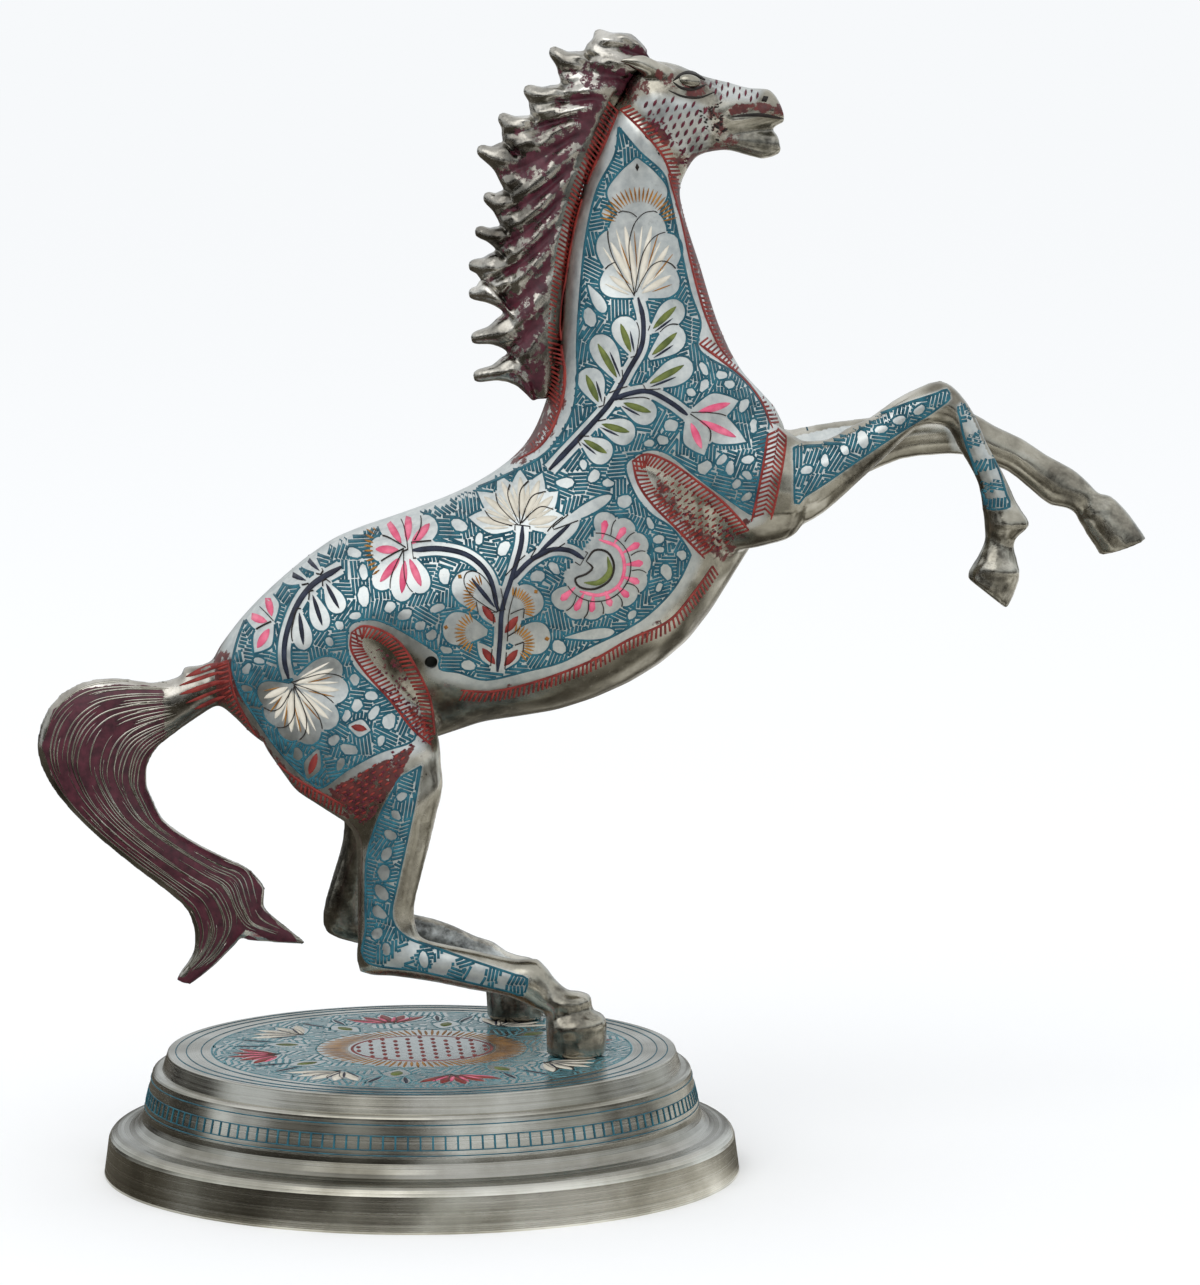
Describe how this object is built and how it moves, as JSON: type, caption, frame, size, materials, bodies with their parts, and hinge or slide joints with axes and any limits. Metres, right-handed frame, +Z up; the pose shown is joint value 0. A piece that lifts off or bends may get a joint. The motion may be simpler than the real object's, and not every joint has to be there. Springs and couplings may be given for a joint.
{
  "type": "rearing horse statue",
  "caption": "Free-standing brass statue of a rearing horse with enamelled floral engraving and a maroon mane and tail, on a round turned plinth.",
  "frame": {"origin": "middle of the plinth's foot, on the face that it stands on", "axes": "+Z up, +X the way the horse faces, +Y to the horse's left"},
  "size_m": [0.267, 0.15, 0.2673],
  "materials": {
    "turned_brass": "turned, lightly polished and nickel-pale, with an engraved teal ladder band and a floral top",
    "engraved_brass": "filed and polished, engraved and filled with teal, red, pink, gold and dark enamel",
    "maroon_lacquer": "maroon lacquer rubbed back to metal on the high edges",
    "plain_steel": "bright zinc"
  },
  "bodies": {
    "root": {"plinth": "turned_brass", "body_right_half": "engraved_brass", "body_left_half": "engraved_brass", "head": "engraved_brass", "mane": "maroon_lacquer", "tail": "maroon_lacquer", "foreleg_right": "engraved_brass", "foreleg_left": "engraved_brass", "hind_leg_right": "engraved_brass", "hind_leg_left": "engraved_brass", "hoof_screws": "plain_steel", "hoof_washers": "plain_steel"}
  },
  "joints": []
}
